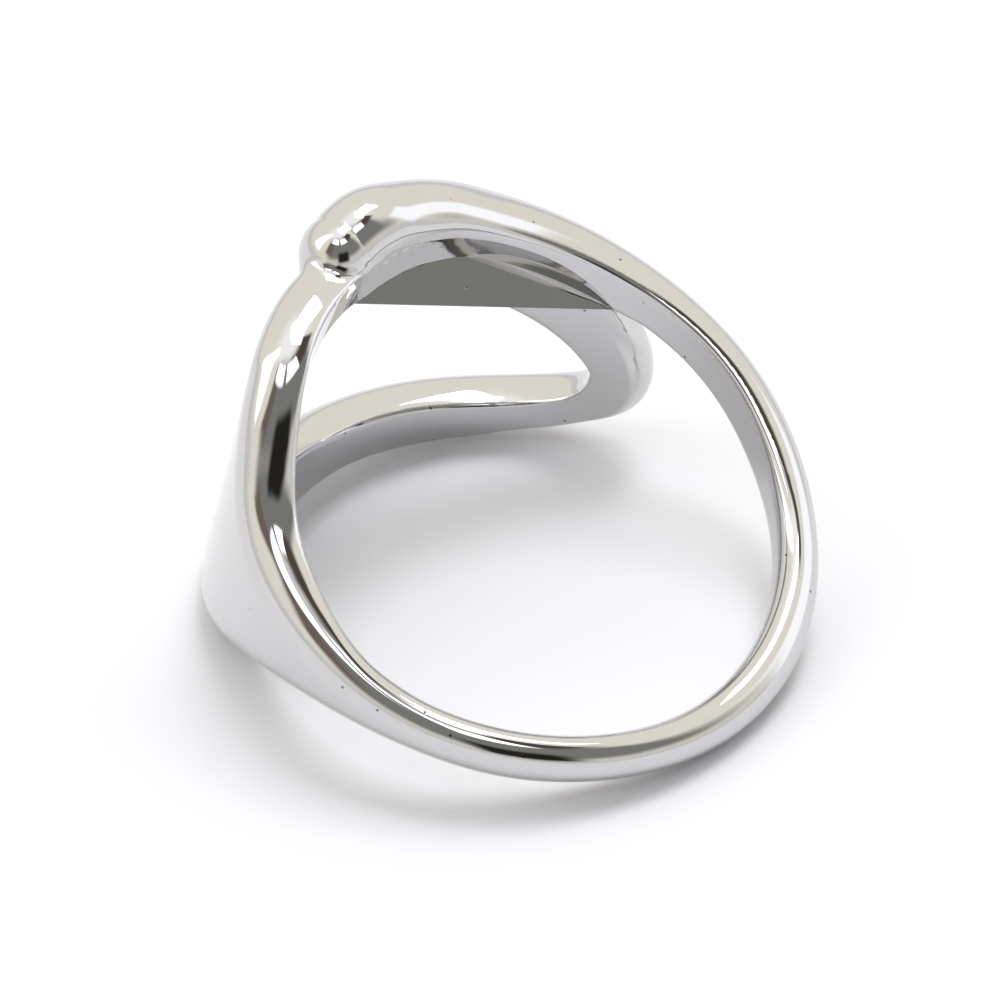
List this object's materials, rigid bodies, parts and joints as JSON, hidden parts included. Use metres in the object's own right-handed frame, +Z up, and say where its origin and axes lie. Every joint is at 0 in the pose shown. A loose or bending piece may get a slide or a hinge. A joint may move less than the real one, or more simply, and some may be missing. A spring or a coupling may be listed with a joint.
{
  "type": "finger ring",
  "caption": "Polished silver finger ring with an open teardrop loop at the front and a crossover arm ending in a rounded nose.",
  "frame": {"origin": "middle of the ring's bounding box, on the table it lies on", "axes": "+Z up from the table; -Y is where the head with the open loop faces; the finger hole's axis leans 16.5 degrees from +Z, towards +Y"},
  "size_m": [0.0206, 0.0214, 0.0143],
  "materials": {
    "loop": "mirror-polished rhodium-plated silver",
    "shank": "mirror-polished rhodium-plated silver",
    "crossover_arm": "mirror-polished rhodium-plated silver",
    "solder": "polished silver solder, plated over"
  },
  "bodies": {
    "root": {"loop": "loop", "shank": "shank", "crossover_arm": "crossover_arm", "arm_solder": "solder", "sizing_solder": "solder", "lap_solder": "solder"}
  },
  "joints": []
}
